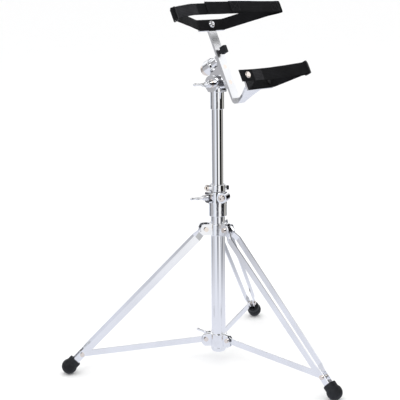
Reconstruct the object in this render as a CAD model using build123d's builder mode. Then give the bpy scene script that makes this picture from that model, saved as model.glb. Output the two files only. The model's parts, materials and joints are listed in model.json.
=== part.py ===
"""Double-braced tripod stand with a height clamp, a ratchet tilter and a two-strap drum cradle.

Millimetres.  Origin on the tube axis at floor level, +Z up, +X the way the cradle faces.
The first leg points along +X, the other two at 120 and 240 degrees.
"""
import os
from math import atan2, cos, radians, sin

from build123d import *

os.makedirs("parts", exist_ok=True)

# --- tubes -------------------------------------------------------------------
BASE_R = 15.875
BASE_WALL = 1.6
BASE_BOTTOM = 28.0
BASE_TOP = 366.0
UPPER_R = 12.7
UPPER_WALL = 1.5
UPPER_BOTTOM = 225.0
UPPER_TOP = 612.0
RUN = 0.06
BASE_BORE = BASE_R - BASE_WALL

# --- tripod ------------------------------------------------------------------
LEG_ANGLES = (0.0, 120.0, 240.0)
LEG_PIVOT_R = 30.0
LEG_PIVOT_Z = 312.0
FOOT_R = 343.0
FOOT_Z = 17.0
FOOT_BALL = 17.0
BRACE_PIVOT_R = 31.0
BRACE_PIVOT_Z = 54.0
BOLT_FROM_FOOT = 39.0
STRAP_STEEL = 14.0
LEG_T = 2.5
BRACE_T = 3.0
HUB_LOW_Z = 296.0
HUB_TOP_Z = 323.5

# --- cradle ------------------------------------------------------------------
CRADLE_TILT = 27.0
SADDLE_X = -17.0
SADDLE_Z = 761.0
BAR_W = 22.0
BAR_T = 5.0
SADDLE_W = 76.0
SADDLE_H = 25.4
SADDLE_T = 4.0
SADDLE_DROP = 170.0
SADDLE_STEP = 77.0

WEB_T = 2.1
BUMPER_P = 64.0
BUMPER_STAND = 3.6
BUMPER_FACE = 18.0
BUMPER_W = 10.0
BUMPER_H = 16.5
SCREW_P = (98.0, 134.0)
RIVET_W = 28.0
TAIL_Q = 132.0

# --- tilter ------------------------------------------------------------------
TILT_Z = 635.0
SLEEVE_LOW = 579.0
SLEEVE_TOP = 617.0
RING_T = 2.7

# --- clamp and collar --------------------------------------------------------
CLAMP_TOP = 395.5
BUSH_R = 14.2
COLLAR_LOW = 395.8
COLLAR_TOP = 411.0
CLAMP_BOSS_A = 296.0
CLAMP_BOSS_T = 17.0
CLAMP_BOSS_FACE = 23.0
CLAMP_SPLIT_A = 307.0
CLAMP_WING_A = 257.0
COLLAR_KEY_A = 246.0
COLLAR_PEG_A = 50.0
COLLAR_SLIT_A = 314.0
HUB_WING_TURN = 33.0
CLAMP_WING_TURN = 10.0
TILT_WING_TURN = 0.0


def leg_frame(a):
    """Radial unit vector and tangential unit vector at azimuth a."""
    c = cos(radians(a))
    s = sin(radians(a))
    return (c, s), (-s, c)


def radial_plane(a, t=0.0, r=0.0, z=0.0):
    """Upright plane at azimuth a: local x runs outward, local y is up."""
    e, tt = leg_frame(a)
    origin = (e[0] * r + tt[0] * t, e[1] * r + tt[1] * t, z)
    return Plane(origin=origin, x_dir=(e[0], e[1], 0), z_dir=(-tt[0], -tt[1], 0))


def facing_plane(a, r, z, t=0.0):
    """Plane whose normal points outward at azimuth a."""
    e, tt = leg_frame(a)
    origin = (e[0] * r + tt[0] * t, e[1] * r + tt[1] * t, z)
    return Plane(origin=origin, x_dir=(tt[0], tt[1], 0), z_dir=(e[0], e[1], 0))


def save(part, label):
    part.label = label
    export_step(part, "parts/" + label + ".step")


def wing_plane(a, r, z, turn, offset):
    """Plane of a wing: local x runs outward at azimuth a, normal tips sideways by the turn."""
    e, tt = leg_frame(a)
    st = sin(radians(turn))
    ct = cos(radians(turn))
    n = (-tt[0] * st, -tt[1] * st, ct)
    origin = (e[0] * r + n[0] * offset, e[1] * r + n[1] * offset, z + n[2] * offset)
    return Plane(origin=origin, x_dir=(e[0], e[1], 0), z_dir=n)


WING = ((2, -4.5), (9, -12), (22, -15.5), (27, -12.5), (19, -6), (12, 0),
        (19, 6), (27, 12.5), (22, 15.5), (9, 12), (2, 4.5), (2, -4.5))
WING_T = 2.6

LEG_DX = FOOT_R - LEG_PIVOT_R
LEG_DZ = LEG_PIVOT_Z - FOOT_Z
LEG_L = (LEG_DX ** 2 + LEG_DZ ** 2) ** 0.5
LEG_PSI = atan2(LEG_DZ, LEG_DX)
BOLT_L = LEG_L - BOLT_FROM_FOOT
BOLT_R = LEG_PIVOT_R + BOLT_L * cos(LEG_PSI)
BOLT_Z = LEG_PIVOT_Z - BOLT_L * sin(LEG_PSI)


def leg_plane(a, offset=0.0):
    """Plane on the leg: local x runs down the leg, local y is tangential, normal is up."""
    e, tt = leg_frame(a)
    ux = cos(LEG_PSI)
    uz = -sin(LEG_PSI)
    mx = sin(LEG_PSI)
    mz = cos(LEG_PSI)
    r = LEG_PIVOT_R + mx * offset
    origin = (e[0] * r, e[1] * r, LEG_PIVOT_Z + mz * offset)
    return Plane(origin=origin, x_dir=(e[0] * ux, e[1] * ux, uz), z_dir=(e[0] * mx, e[1] * mx, mz))


def leg_cross(a, along):
    """Plane square to the leg at a distance down it: local x tangential, normal down the leg."""
    e, tt = leg_frame(a)
    ux = cos(LEG_PSI)
    uz = -sin(LEG_PSI)
    r = LEG_PIVOT_R + ux * along
    origin = (e[0] * r, e[1] * r, LEG_PIVOT_Z + uz * along)
    return Plane(origin=origin, x_dir=(tt[0], tt[1], 0), z_dir=(e[0] * ux, e[1] * ux, uz))


# --- base tube ---------------------------------------------------------------
with BuildPart() as base_tube:
    with BuildSketch(Plane.XY.offset(BASE_BOTTOM)):
        Circle(BASE_R)
        Circle(BASE_BORE, mode=Mode.SUBTRACT)
    extrude(amount=BASE_TOP - BASE_BOTTOM)
save(base_tube.part, "base_tube")

# The end cap plugs the bottom of the tube and stops the brace hub.
with BuildPart() as tube_end_cap:
    with BuildSketch(Plane.XZ) as cap_profile:
        with BuildLine():
            Polyline((0, 22.5), (10.5, 22.5), (14.8, 24.5), (16.8, 28.5), (16.8, 33), (BASE_R, 33),
                     (BASE_R, BASE_BOTTOM), (BASE_BORE, BASE_BOTTOM), (BASE_BORE, 38), (0, 38), (0, 22.5))
        make_face()
    revolve(axis=Axis.Z)
save(tube_end_cap.part, "tube_end_cap")

# --- leg hub: ring with three pairs of cheeks --------------------------------
LUG_IN = 8.9
LUG_OUT = 11.9
with BuildPart() as leg_hub:
    with BuildSketch(Plane.XY.offset(HUB_LOW_Z)):
        Circle(20.2)
    extrude(amount=HUB_TOP_Z - HUB_LOW_Z)
    fillet(leg_hub.edges().filter_by(GeomType.CIRCLE), 2.0)
    for ang in LEG_ANGLES:
        for t0 in (LUG_IN, -LUG_OUT):
            with BuildSketch(radial_plane(ang, -t0)):
                with BuildLine():
                    Polyline((15, HUB_LOW_Z + 2), (33, HUB_LOW_Z + 2.5), (41.5, 306), (42.5, 314),
                             (38.5, HUB_TOP_Z - 0.5), (15, HUB_TOP_Z), (15, HUB_LOW_Z + 2))
                make_face()
            extrude(amount=LUG_OUT - LUG_IN)
    with BuildSketch(Plane.XY.offset(HUB_LOW_Z - 1)):
        Circle(BASE_R)
    extrude(amount=60, mode=Mode.SUBTRACT)
    for ang in LEG_ANGLES:
        with BuildSketch(radial_plane(ang, 20, LEG_PIVOT_R, LEG_PIVOT_Z)):
            Circle(3.0)
        extrude(amount=40, mode=Mode.SUBTRACT)
save(leg_hub.part, "leg_hub")

# Pivot screws of the leg hub: one short screw through each cheek.
with BuildPart() as leg_pivot_screws:
    for ang in LEG_ANGLES:
        for side in (1, -1):
            p = radial_plane(ang, side * LUG_OUT, LEG_PIVOT_R, LEG_PIVOT_Z)
            with BuildSketch(p):
                Circle(5.2)
            extrude(amount=-side * 2.6)
            with BuildSketch(p):
                Circle(3.0)
            extrude(amount=side * (LUG_OUT - LUG_IN))
save(leg_pivot_screws.part, "leg_pivot_screws")

# --- legs --------------------------------------------------------------------
LEG_STATIONS = ((-7.0, 7.3), (14.6, 7.3), (28.6, 13.6), (362.0, 10.4), (380.0, 6.9), (417.0, 6.9))
NECK_L = BOLT_L + 19.0
for number, ang in enumerate(LEG_ANGLES, start=1):
    name = "leg_" + str(number)
    for side, word in ((1, "left"), (-1, "right")):
        with BuildPart() as leg_bar:
            with BuildSketch(leg_plane(ang, -STRAP_STEEL / 2)):
                outer = [(l, side * (t + LEG_T / 2)) for l, t in LEG_STATIONS]
                inner = [(l, side * (t - LEG_T / 2)) for l, t in reversed(LEG_STATIONS)]
                with BuildLine():
                    Polyline(*outer, *inner, outer[0])
                make_face()
            extrude(amount=STRAP_STEEL)
            ends = leg_bar.edges().filter_by(lambda e: abs(e.length - LEG_T) < 0.05)
            fillet(ends, 5.5)
            for along in (0.0, BOLT_L):
                r = LEG_PIVOT_R + along * cos(LEG_PSI)
                z = LEG_PIVOT_Z - along * sin(LEG_PSI)
                with BuildSketch(radial_plane(ang, 25, r, z)):
                    Circle(3.0)
                extrude(amount=50, mode=Mode.SUBTRACT)
        save(leg_bar.part, name + "_bar_" + word)

    # Nylon spacer that keeps the two bars apart at the pivot.
    with BuildPart() as leg_spacer:
        half = 7.3 - LEG_T / 2
        with BuildSketch(radial_plane(ang, half, LEG_PIVOT_R, LEG_PIVOT_Z)):
            Circle(6.4)
            Circle(3.1, mode=Mode.SUBTRACT)
        extrude(amount=2 * half)
    save(leg_spacer.part, name + "_spacer")

    # Steel core between the bar ends, inside the rubber foot.
    with BuildPart() as foot_core:
        half = 6.9 - LEG_T / 2
        with BuildSketch(leg_cross(ang, BOLT_L + 10.5)):
            Circle(half)
        extrude(amount=18.0)
    save(foot_core.part, name + "_foot_core")

    # Rubber foot: a sleeve over the bar ends with a ball that stands on the floor.
    with BuildPart() as rubber_foot:
        with BuildSketch(leg_cross(ang, NECK_L)):
            Circle(14.2)
        extrude(amount=LEG_L - NECK_L - 6.0)
        fillet(rubber_foot.edges().filter_by(GeomType.CIRCLE).sort_by_distance(
            leg_cross(ang, NECK_L).origin)[0], 1.2)
        e, tt = leg_frame(ang)
        with BuildSketch(Plane(origin=(e[0] * FOOT_R, e[1] * FOOT_R, FOOT_Z),
                               x_dir=(e[0], e[1], 0), z_dir=(-tt[0], -tt[1], 0))):
            with BuildLine():
                Polyline((0, -FOOT_BALL), (0, FOOT_BALL))
                RadiusArc((0, FOOT_BALL), (0, -FOOT_BALL), FOOT_BALL)
            make_face()
        revolve(axis=Axis((e[0] * FOOT_R, e[1] * FOOT_R, FOOT_Z), (0, 0, 1)))
        with BuildSketch(leg_cross(ang, NECK_L - 1)):
            Rectangle(2 * (6.9 + LEG_T / 2) + 0.1, STRAP_STEEL + 0.1)
        extrude(amount=BOLT_L + 28.5 - NECK_L + 1, mode=Mode.SUBTRACT)
    save(rubber_foot.part, name + "_foot")

    # Rivet that joins the leg bars and the outer end of the brace.
    with BuildPart() as leg_rivet:
        half = 6.9 + LEG_T / 2
        p = radial_plane(ang, half, BOLT_R, BOLT_Z)
        with BuildSketch(p):
            Circle(3.0)
        extrude(amount=2 * half)
        with BuildSketch(p):
            Circle(4.9)
        extrude(amount=-2.4)
        with BuildSketch(radial_plane(ang, -half, BOLT_R, BOLT_Z)):
            Circle(4.9)
        extrude(amount=2.4)
    save(leg_rivet.part, name + "_rivet")

    # Brace: flat bar from the sliding hub to the leg bolt.
    with BuildPart() as brace:
        dx = BOLT_R - BRACE_PIVOT_R
        dz = BOLT_Z - BRACE_PIVOT_Z
        e, tt = leg_frame(ang)
        length = (dx * dx + dz * dz) ** 0.5
        ux = dx / length
        uz = dz / length
        origin = (e[0] * BRACE_PIVOT_R + tt[0] * BRACE_T / 2, e[1] * BRACE_PIVOT_R + tt[1] * BRACE_T / 2,
                  BRACE_PIVOT_Z)
        bp = Plane(origin=origin, x_dir=(e[0] * ux, e[1] * ux, uz), z_dir=(-tt[0], -tt[1], 0))
        with BuildSketch(bp):
            with Locations((length / 2, 0)):
                SlotCenterToCenter(length, STRAP_STEEL)
            with Locations((0, 0), (length, 0)):
                Circle(3.0 + RUN, mode=Mode.SUBTRACT)
        extrude(amount=BRACE_T)
        fillet(brace.edges().filter_by(lambda q: q.length > 200), 0.6)
    save(brace.part, "brace_" + str(number))

# --- brace hub: slides on the tube, carries the braces -----------------------
BLUG_IN = BRACE_T / 2 + 0.25
BLUG_OUT = BLUG_IN + 3.6
BHUB_LOW = 35.5
BHUB_TOP = 66.0
with BuildPart() as brace_hub:
    with BuildSketch(Plane.XY.offset(BHUB_LOW)):
        Circle(19.6)
    extrude(amount=BHUB_TOP - BHUB_LOW)
    fillet(brace_hub.edges().filter_by(GeomType.CIRCLE), 1.6)
    for ang in LEG_ANGLES:
        for t0 in (BLUG_IN, -BLUG_OUT):
            with BuildSketch(radial_plane(ang, -t0)):
                with BuildLine():
                    Polyline((16.5, 37.5), (34, 38.5), (38.5, 43), (40, 53), (38, 61), (33, 64.5),
                             (16.5, 65), (16.5, 37.5))
                make_face()
            extrude(amount=BLUG_OUT - BLUG_IN)
    with BuildSketch(facing_plane(180, 18, 56)):
        Circle(8.0)
    extrude(amount=8.0)
    with BuildSketch(Plane.XY.offset(BHUB_LOW - 1)):
        Circle(BASE_R + RUN)
    extrude(amount=60, mode=Mode.SUBTRACT)
    for ang in LEG_ANGLES:
        with BuildSketch(radial_plane(ang, 10, BRACE_PIVOT_R, BRACE_PIVOT_Z)):
            Circle(3.0)
        extrude(amount=20, mode=Mode.SUBTRACT)
    with BuildSketch(facing_plane(180, 10, 56)):
        Circle(4.0 + RUN)
    extrude(amount=30, mode=Mode.SUBTRACT)
save(brace_hub.part, "brace_hub")

with BuildPart() as brace_pivot_rivets:
    for ang in LEG_ANGLES:
        p = radial_plane(ang, BLUG_OUT, BRACE_PIVOT_R, BRACE_PIVOT_Z)
        with BuildSketch(p):
            Circle(3.0)
        extrude(amount=2 * BLUG_OUT)
        with BuildSketch(p):
            Circle(5.0)
        extrude(amount=-2.6)
        with BuildSketch(radial_plane(ang, -BLUG_OUT, BRACE_PIVOT_R, BRACE_PIVOT_Z)):
            Circle(5.0)
        extrude(amount=2.6)
save(brace_pivot_rivets.part, "brace_pivot_rivets")

# Wing screw of the brace hub: turns in the hub and presses on the tube.
with BuildPart() as hub_wing:
    with BuildSketch(facing_plane(180, BASE_R + 0.3, 56)):
        Circle(4.0)
    extrude(amount=20)
    with BuildSketch(facing_plane(180, 28.5, 56)):
        Circle(6.5)
    extrude(amount=9.5)
    with BuildSketch(wing_plane(180, 33, 56, HUB_WING_TURN, -WING_T / 2)):
        with BuildLine():
            Polyline(*WING)
        make_face()
    extrude(amount=WING_T)
save(hub_wing.part, "brace_hub_wing_screw")

# --- height clamp on top of the base tube ------------------------------------
with BuildPart() as clamp_body:
    with BuildSketch(Plane.XY.offset(339.5)):
        Circle(20.0)
    extrude(amount=28.5)
    with BuildSketch(Plane.XY.offset(368)):
        Circle(20.8)
    extrude(amount=4)
    with BuildSketch(Plane.XY.offset(372)):
        Circle(18.8)
    extrude(amount=CLAMP_TOP - 372)
    fillet(clamp_body.edges().filter_by(GeomType.CIRCLE).sort_by(Axis.Z)[-1], 1.5)
    fillet(clamp_body.edges().filter_by(GeomType.CIRCLE).sort_by(Axis.Z)[0], 1.5)
    with BuildSketch(facing_plane(CLAMP_BOSS_A, -3, 384, CLAMP_BOSS_T)):
        Circle(11.3)
    extrude(amount=CLAMP_BOSS_FACE + 3)
    with BuildSketch(facing_plane(CLAMP_WING_A, 8, 383.4)):
        RectangleRounded(18, 23.6, 4)
    extrude(amount=20)
    with BuildSketch(radial_plane(CLAMP_SPLIT_A, 0.9, 12, 383.5)):
        Rectangle(40, 24.4)
    extrude(amount=1.8, mode=Mode.SUBTRACT)
    with BuildSketch(Plane.XY.offset(339)):
        Circle(BASE_R)
    extrude(amount=BASE_TOP - 339, mode=Mode.SUBTRACT)
    with BuildSketch(Plane.XY.offset(360)):
        Circle(BUSH_R)
    extrude(amount=40, mode=Mode.SUBTRACT)
    with BuildSketch(facing_plane(CLAMP_WING_A, 10, 384)):
        Circle(4.0 + RUN)
    extrude(amount=30, mode=Mode.SUBTRACT)
    with BuildSketch(facing_plane(CLAMP_BOSS_A, 12, 384, CLAMP_BOSS_T)):
        Circle(4.0)
    extrude(amount=20, mode=Mode.SUBTRACT)
save(clamp_body.part, "clamp_body")

# Nylon bush that guides the upper tube.
with BuildPart() as clamp_bush:
    with BuildSketch(Plane.XY.offset(330)):
        Circle(BUSH_R)
        Circle(UPPER_R + RUN, mode=Mode.SUBTRACT)
    extrude(amount=CLAMP_TOP - 331)
save(clamp_bush.part, "clamp_bush")

# Dome-headed hex-socket screw in the round boss of the clamp, square to the split.
with BuildPart() as clamp_screw:
    with BuildSketch(facing_plane(CLAMP_BOSS_A, 12, 384, CLAMP_BOSS_T)):
        Circle(4.0)
    extrude(amount=CLAMP_BOSS_FACE - 12)
    with BuildSketch(facing_plane(CLAMP_BOSS_A, CLAMP_BOSS_FACE, 384, CLAMP_BOSS_T)):
        Circle(7.6)
    extrude(amount=4.4)
    fillet(clamp_screw.edges().filter_by(lambda e: abs(e.radius - 7.6) < 0.01 if e.geom_type == GeomType.CIRCLE
                                         else False).sort_by_distance(
        facing_plane(CLAMP_BOSS_A, 40, 384, CLAMP_BOSS_T).origin)[0], 2.4)
    with BuildSketch(facing_plane(CLAMP_BOSS_A, CLAMP_BOSS_FACE + 1.6, 384, CLAMP_BOSS_T)):
        RegularPolygon(3.2, 6)
    extrude(amount=4, mode=Mode.SUBTRACT)
save(clamp_screw.part, "clamp_cap_screw")

with BuildPart() as clamp_wing:
    with BuildSketch(facing_plane(CLAMP_WING_A, BUSH_R + 0.3, 384)):
        Circle(4.0)
    extrude(amount=24)
    with BuildSketch(facing_plane(CLAMP_WING_A, 28.5, 384)):
        Circle(7.0)
    extrude(amount=12)
    with BuildSketch(wing_plane(CLAMP_WING_A, 36.5, 384, CLAMP_WING_TURN, -WING_T / 2)):
        with BuildLine():
            Polyline(*WING)
        make_face()
    extrude(amount=WING_T)
save(clamp_wing.part, "clamp_wing_screw")

# --- memory collar on the upper tube -----------------------------------------
with BuildPart() as memory_collar:
    with BuildSketch(Plane.XY.offset(COLLAR_LOW)):
        Circle(17.2)
    extrude(amount=COLLAR_TOP - COLLAR_LOW)
    fillet(memory_collar.edges().filter_by(GeomType.CIRCLE), 1.0)
    with BuildSketch(facing_plane(COLLAR_KEY_A, 12, 404)):
        Circle(6.8)
    extrude(amount=11)
    with BuildSketch(facing_plane(COLLAR_PEG_A, 12, 403)):
        Circle(4.4)
    extrude(amount=7.5)
    with BuildSketch(Plane.XY.offset(COLLAR_LOW - 1)):
        Circle(UPPER_R + RUN)
    extrude(amount=20, mode=Mode.SUBTRACT)
    with BuildSketch(facing_plane(COLLAR_KEY_A, 10, 404)):
        Circle(3.0 + RUN)
    extrude(amount=20, mode=Mode.SUBTRACT)
    with BuildSketch(facing_plane(COLLAR_SLIT_A, 10, 403.4)):
        SlotOverall(8.4, 3.2, rotation=90)
    extrude(amount=12, mode=Mode.SUBTRACT)
save(memory_collar.part, "memory_collar")

with BuildPart() as collar_key:
    with BuildSketch(facing_plane(COLLAR_KEY_A, UPPER_R + 0.3, 404)):
        Circle(3.0)
    extrude(amount=12)
    with BuildSketch(facing_plane(COLLAR_KEY_A, 23.2, 404)):
        Circle(7.2)
    extrude(amount=4.2)
    with BuildSketch(facing_plane(COLLAR_KEY_A, 27.4, 404)):
        Rectangle(5.6, 5.6)
    extrude(amount=4)
save(collar_key.part, "collar_key_screw")

with BuildPart() as collar_peg:
    with BuildSketch(facing_plane(COLLAR_PEG_A, 19.5, 403)):
        Circle(5.0)
    extrude(amount=5.5)
    fillet(collar_peg.edges().filter_by(GeomType.CIRCLE).sort_by_distance(
        facing_plane(COLLAR_PEG_A, 25, 403).origin)[0], 1.5)
save(collar_peg.part, "collar_peg_cap")

# --- upper tube --------------------------------------------------------------
with BuildPart() as upper_tube:
    with BuildSketch(Plane.XY.offset(UPPER_BOTTOM)):
        Circle(UPPER_R)
        Circle(UPPER_R - UPPER_WALL, mode=Mode.SUBTRACT)
    extrude(amount=UPPER_TOP - UPPER_BOTTOM)
save(upper_tube.part, "upper_tube")

# Plastic glide on the lower end of the upper tube.
with BuildPart() as tube_glide:
    with BuildSketch(Plane.XY.offset(UPPER_BOTTOM - 6)):
        Circle(BASE_BORE - RUN)
    extrude(amount=6)
    with BuildSketch(Plane.XY.offset(UPPER_BOTTOM)):
        Circle(UPPER_R - UPPER_WALL)
    extrude(amount=14)
save(tube_glide.part, "upper_tube_glide")

# --- tilter base: sleeve, flange and two cheeks ------------------------------
CHEEK_IN = 9.6
with BuildPart() as tilter_base:
    with BuildSketch(Plane.XY.offset(SLEEVE_LOW)):
        Circle(15.3)
    extrude(amount=SLEEVE_TOP - SLEEVE_LOW)
    with BuildSketch(Plane.XY.offset(SLEEVE_TOP)):
        Circle(21.0)
    extrude(amount=10)
    fillet(tilter_base.edges().filter_by(GeomType.CIRCLE), 1.0)
    with BuildSketch(Plane.XY.offset(SLEEVE_TOP)):
        Rectangle(60, 2 * CHEEK_IN)
    extrude(amount=12, mode=Mode.SUBTRACT)
    with BuildSketch(Plane.XZ.offset(19)):
        with Locations((0, 622)):
            Rectangle(40, 14)
    extrude(amount=4, mode=Mode.SUBTRACT)
    with BuildSketch(Plane.XZ.offset(RING_T + CHEEK_IN)):
        with Locations((0, TILT_Z)):
            Circle(18.5)
    extrude(amount=9.4 - RING_T)
    with BuildSketch(Plane.XZ.offset(RING_T + CHEEK_IN)):
        with Locations((0, 622)):
            Rectangle(26, 10)
    extrude(amount=-RING_T)
    with BuildSketch(Plane.XZ.offset(-CHEEK_IN)):
        with Locations((0, TILT_Z)):
            Circle(13.0)
        with Locations((0, 624)):
            Rectangle(24, 14)
    extrude(amount=-6.4)
    with BuildSketch(Plane.XY.offset(SLEEVE_LOW - 1)):
        Circle(UPPER_R)
    extrude(amount=UPPER_TOP - SLEEVE_LOW + 1, mode=Mode.SUBTRACT)
    with BuildSketch(Plane.XZ.offset(-30)):
        with Locations((0, TILT_Z)):
            Circle(4.0)
    extrude(amount=60, mode=Mode.SUBTRACT)
    with BuildSketch(Plane.XZ.offset(CHEEK_IN)):
        with Locations((0, TILT_Z)):
            Circle(17.7)
    extrude(amount=RING_T, mode=Mode.SUBTRACT)
save(tilter_base.part, "tilter_base")

# Toothed ratchet rings: the lower one sits in the base, the upper one on the arm.
with BuildPart() as ratchet_lower:
    with BuildSketch(Plane.XZ.offset(CHEEK_IN - 0.1)):
        with Locations((0, TILT_Z)):
            Circle(17.6)
            Circle(4.2, mode=Mode.SUBTRACT)
    extrude(amount=RING_T + 0.1)
save(ratchet_lower.part, "ratchet_ring_lower")
with BuildPart() as ratchet_upper:
    with BuildSketch(Plane.XZ.offset(CHEEK_IN - 0.3 - RING_T)):
        with Locations((0, TILT_Z)):
            Circle(16.9)
            Circle(4.2, mode=Mode.SUBTRACT)
    extrude(amount=RING_T)
save(ratchet_upper.part, "ratchet_ring_upper")

with BuildPart() as tilter_bolt:
    with BuildSketch(Plane.XZ.offset(-16)):
        with Locations((0, TILT_Z)):
            RegularPolygon(7.4, 6)
    extrude(amount=-5.2)
    with BuildSketch(Plane.XZ.offset(-16)):
        with Locations((0, TILT_Z)):
            Circle(4.0)
    extrude(amount=47)
save(tilter_bolt.part, "tilter_pivot_bolt")

with BuildPart() as tilter_washer:
    with BuildSketch(Plane.XZ.offset(19)):
        with Locations((0, TILT_Z)):
            Circle(9.5)
            Circle(4.1, mode=Mode.SUBTRACT)
    extrude(amount=1.6)
save(tilter_washer.part, "tilter_washer")

with BuildPart() as tilter_wing:
    with BuildSketch(Plane.XZ.offset(20.7)):
        with Locations((0, TILT_Z)):
            Circle(8.2)
    extrude(amount=14.5)
    with BuildSketch(wing_plane(270, 31, TILT_Z, TILT_WING_TURN, -WING_T / 2)):
        with BuildLine():
            Polyline(*WING)
        make_face()
    extrude(amount=WING_T)
    with BuildSketch(Plane.XZ.offset(10)):
        with Locations((0, TILT_Z)):
            Circle(4.0 + RUN)
    extrude(amount=21.4, mode=Mode.SUBTRACT)
save(tilter_wing.part, "tilter_wing_nut")

# --- tilter arm: hub, neck, round boss and the plate behind the bracket -------
ST = sin(radians(CRADLE_TILT))
CT = cos(radians(CRADLE_TILT))


def cradle_xz(p, q):
    """Point in the mid plane: p down the bracket from the upper saddle, q toward the drum."""
    return (SADDLE_X + ST * p + CT * q, SADDLE_Z - CT * p + ST * q)


def side_plane(offset=0.0):
    """Mid plane of the cradle: local x runs down the bracket, local y toward the drum."""
    return Plane(origin=(SADDLE_X, -offset, SADDLE_Z), x_dir=(ST, 0, -CT), z_dir=(0, -1, 0))


def across_plane(p):
    """Plane square to the bracket: local x is sideways, local y toward the drum."""
    x, z = cradle_xz(p, 0)
    return Plane(origin=(x, 0, z), x_dir=(0, 1, 0), z_dir=(ST, 0, -CT))


def face_plane(q, p=0.0, w=0.0):
    """Plane parallel to the bracket: local x sideways, normal toward the drum."""
    x, z = cradle_xz(p, q)
    return Plane(origin=(x, w, z), x_dir=(0, 1, 0), z_dir=(CT, 0, ST))


BAR_FRONT = -2.4
BAR_BACK = BAR_FRONT - BAR_T
PLATE_BACK = BAR_BACK - 5.0
BOSS_P = 80.0
with BuildPart() as tilter_arm:
    with BuildSketch(Plane.XZ.offset(-9.3)):
        with Locations((0, TILT_Z)):
            Circle(16.5)
        with BuildLine():
            a = cradle_xz(143, PLATE_BACK)
            b = cradle_xz(72, PLATE_BACK)
            Polyline(a, b, (-8, 689), (-15, 668), (-15.5, 640), (4, 629.6), (a[0] - 1, 629.6), a)
        make_face()
    extrude(amount=9.3 + CHEEK_IN - 0.3 - RING_T)
    with BuildSketch(face_plane(PLATE_BACK, 108)):
        Rectangle(BAR_W, 76)
    extrude(amount=5.0)
    with BuildSketch(face_plane(PLATE_BACK, BOSS_P)):
        Circle(12.0)
    extrude(amount=-22)
    with BuildSketch(face_plane(PLATE_BACK - 20, BOSS_P)):
        Circle(16.3)
    extrude(amount=-22)
    fillet(tilter_arm.edges().filter_by(GeomType.CIRCLE).filter_by(
        lambda q: abs(q.radius - 16.3) < 0.01), 2.0)
    with BuildSketch(Plane.XZ.offset(-30)):
        with Locations((0, TILT_Z)):
            Circle(4.0 + RUN)
    extrude(amount=60, mode=Mode.SUBTRACT)
    with BuildSketch(face_plane(PLATE_BACK - 50, BOSS_P)):
        Circle(5.0)
    extrude(amount=30, mode=Mode.SUBTRACT)
    for p in SCREW_P:
        with BuildSketch(face_plane(PLATE_BACK - 7, p)):
            Circle(2.5)
        extrude(amount=20, mode=Mode.SUBTRACT)
save(tilter_arm.part, "tilter_arm")

with BuildPart() as boss_stud:
    with BuildSketch(face_plane(PLATE_BACK - 20, BOSS_P)):
        Circle(5.0)
    extrude(amount=-32)
save(boss_stud.part, "boss_stud")

with BuildPart() as boss_nut:
    with BuildSketch(face_plane(PLATE_BACK - 42, BOSS_P)):
        Circle(13.0)
    extrude(amount=-14)
    fillet(boss_nut.edges().filter_by(GeomType.CIRCLE).sort_by_distance(
        face_plane(PLATE_BACK - 56, BOSS_P).origin)[0], 7.0)
    with BuildSketch(face_plane(PLATE_BACK - 42, BOSS_P)):
        Circle(5.0)
    extrude(amount=-10, mode=Mode.SUBTRACT)
save(boss_nut.part, "boss_cap_nut")

# --- cradle bracket: flat bar, flared arm and two saddle plates ---------------
SADDLE_Q = SADDLE_STEP + BAR_FRONT
with BuildPart() as cradle_bracket:
    with BuildSketch(side_plane(-40)):
        with BuildLine():
            Polyline((160, BAR_FRONT), (171, BAR_FRONT), (177.5, 1.0), (180.5, 8), (166, SADDLE_Q - 4),
                     (171.6, SADDLE_Q - 4), (186.2, 7), (184.0, -2.0), (179, BAR_BACK + 1.2),
                     (173, BAR_BACK), (160, BAR_BACK), (160, BAR_FRONT))
        make_face()
    extrude(amount=80)
    with BuildSketch(across_plane(150)):
        with BuildLine():
            Polyline((-11, -15), (11, -15), (11, 12), (16, 32), (29, 60), (36, SADDLE_Q - 3.9),
                     (-36, SADDLE_Q - 3.9), (-29, 60), (-16, 32), (-11, 12), (-11, -15))
        make_face()
    extrude(amount=50, mode=Mode.INTERSECT)
    with BuildSketch(face_plane(BAR_BACK, 77)):
        Rectangle(BAR_W, 170)
    extrude(amount=BAR_T)
    with BuildSketch(face_plane(BAR_FRONT, 0)):
        Rectangle(SADDLE_W, SADDLE_H)
    extrude(amount=-SADDLE_T)
    with BuildSketch(face_plane(SADDLE_Q, SADDLE_DROP)):
        Rectangle(SADDLE_W, SADDLE_H)
    extrude(amount=-SADDLE_T)
    with BuildSketch(face_plane(BAR_FRONT + 1, 0)):
        Circle(4.0)
    extrude(amount=-12, mode=Mode.SUBTRACT)
    for w in (-RIVET_W, RIVET_W):
        with BuildSketch(face_plane(SADDLE_Q + 1, SADDLE_DROP, w)):
            Circle(2.4)
        extrude(amount=-6, mode=Mode.SUBTRACT)
    with BuildSketch(face_plane(BAR_FRONT + 1, BUMPER_P)):
        Circle(2.5)
    extrude(amount=-12, mode=Mode.SUBTRACT)
    for p in SCREW_P:
        with BuildSketch(face_plane(BAR_FRONT, p)):
            Circle(5.0)
        extrude(amount=-2.6, mode=Mode.SUBTRACT)
        with BuildSketch(face_plane(BAR_FRONT, p)):
            Circle(2.5)
        extrude(amount=-12, mode=Mode.SUBTRACT)
save(cradle_bracket.part, "cradle_bracket")

with BuildPart() as bracket_screws:
    for p in SCREW_P:
        with BuildSketch(face_plane(BAR_FRONT, p)):
            Circle(5.0)
        extrude(amount=-2.6)
        with BuildSketch(face_plane(BAR_FRONT, p)):
            Circle(2.5)
        extrude(amount=-15)
save(bracket_screws.part, "bracket_screws")

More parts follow.
